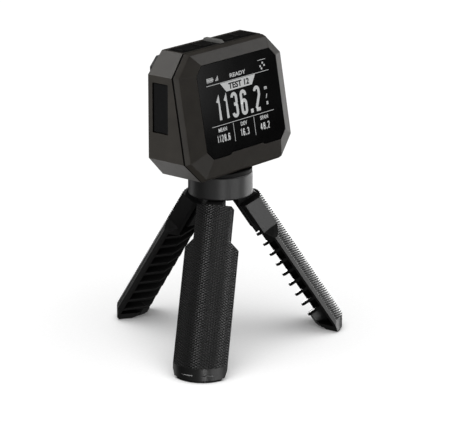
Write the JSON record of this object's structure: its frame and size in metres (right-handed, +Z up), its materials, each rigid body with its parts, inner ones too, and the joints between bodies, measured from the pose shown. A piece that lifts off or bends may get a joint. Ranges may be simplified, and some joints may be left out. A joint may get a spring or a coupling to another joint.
{
  "type": "radar chronograph on tabletop tripod",
  "caption": "Pocket Doppler radar chronograph: wedge-backed octagonal display head with top keys, on a short collar and folding tabletop tripod.",
  "frame": {"origin": "on the floor, at the middle of the footprint's box; the tripod's vertical axis stands 12.25 mm in front of it", "axes": "+Z up, display faces -Y, +X to the right of someone reading the display"},
  "size_m": [0.1138, 0.1028, 0.1502],
  "materials": {
    "housing": "fine-textured moulded case",
    "bezel": "fine-textured moulded bezel",
    "keypad": "matte black",
    "rubber": "matte rubber",
    "gasket": "matte rubber",
    "display_glass": "polished cover glass",
    "display": "lit display module",
    "radome": "satin black radar window",
    "board": "circuit board",
    "cell": "foil-wrapped cell",
    "steel": "machined",
    "brass": "machined",
    "sight": "light grey moulded",
    "collar": "satin black",
    "hub": "matte black glass-filled plastic",
    "leg": "black with a fine diamond grip texture"
  },
  "bodies": {
    "tripod_hub": {"collar": "collar", "top_pad": "rubber", "hub": "hub", "mounting_stud": "steel", "hub_screw_1": "steel", "hub_screw_2": "steel", "hub_screw_3": "steel", "left_pivot_pin": "steel", "left_washer_a": "steel", "left_washer_b": "steel", "right_pivot_pin": "steel", "right_washer_a": "steel", "right_washer_b": "steel", "rear_pivot_pin": "steel", "rear_washer_a": "steel", "rear_washer_b": "steel"},
    "head": {"front_bezel": "bezel", "display_glass": "display_glass", "display_panel": "display", "seam_gasket": "gasket", "rear_housing": "housing", "radar_window": "radome", "radar_board": "board", "antenna_plate": "brass", "radar_shield": "steel", "main_board": "board", "battery": "cell", "usb_socket": "steel", "thread_insert": "brass", "case_screw_1": "steel", "case_screw_2": "steel", "case_screw_3": "steel", "case_screw_4": "steel", "keypad_panel": "keypad", "sighting_rib": "sight", "switch_board": "board", "dome_switch_1": "steel", "dome_switch_2": "steel", "dome_switch_3": "steel", "dome_switch_4": "steel"},
    "button_1": {"button_1": "rubber"},
    "button_2": {"button_2": "rubber"},
    "button_3": {"button_3": "rubber"},
    "button_4": {"button_4": "rubber"},
    "port_cover": {"port_cover": "rubber"},
    "left_leg": {"left_leg": "leg", "left_foot_pad": "rubber"},
    "right_leg": {"right_leg": "leg", "right_foot_pad": "rubber"},
    "rear_leg": {"rear_leg": "leg", "rear_foot_pad": "rubber"}
  },
  "joints": [
    {"name": "head_pan", "type": "hinge", "parent": "tripod_hub", "child": "head", "pos_m": [0, -0.01225, 0.0883], "axis": [0, 0, 1], "range_deg": [-180, 180]},
    {"name": "button_1_press", "type": "slide", "parent": "head", "child": "button_1", "axis": [0, 0, -1], "range_m": [0, 0.0006], "stiffness_N_per_m": 1500, "springref_m": -0.0003},
    {"name": "button_2_press", "type": "slide", "parent": "head", "child": "button_2", "axis": [0, 0, -1], "range_m": [0, 0.0006], "stiffness_N_per_m": 1500, "springref_m": -0.0003},
    {"name": "button_3_press", "type": "slide", "parent": "head", "child": "button_3", "axis": [0, 0, -1], "range_m": [0, 0.0006], "stiffness_N_per_m": 1500, "springref_m": -0.0003},
    {"name": "button_4_press", "type": "slide", "parent": "head", "child": "button_4", "axis": [0, 0, -1], "range_m": [0, 0.0006], "stiffness_N_per_m": 1500, "springref_m": -0.0003},
    {"name": "port_cover_swing", "type": "hinge", "parent": "head", "child": "port_cover", "pos_m": [-0.03825, -0.00345, 0.1232], "axis": [0, 0, -1], "range_deg": [0, 100]},
    {"name": "left_leg_fold", "type": "hinge", "parent": "tripod_hub", "child": "left_leg", "pos_m": [-0.00736, -0.0165, 0.077], "axis": [0.5, -0.866, 0], "range_deg": [0, 33.5]},
    {"name": "right_leg_fold", "type": "hinge", "parent": "tripod_hub", "child": "right_leg", "pos_m": [0.00736, -0.0165, 0.077], "axis": [0.5, 0.866, 0], "range_deg": [0, 33.5]},
    {"name": "rear_leg_fold", "type": "hinge", "parent": "tripod_hub", "child": "rear_leg", "pos_m": [0, -0.00375, 0.077], "axis": [-1, 0, 0], "range_deg": [0, 33.5]}
  ]
}
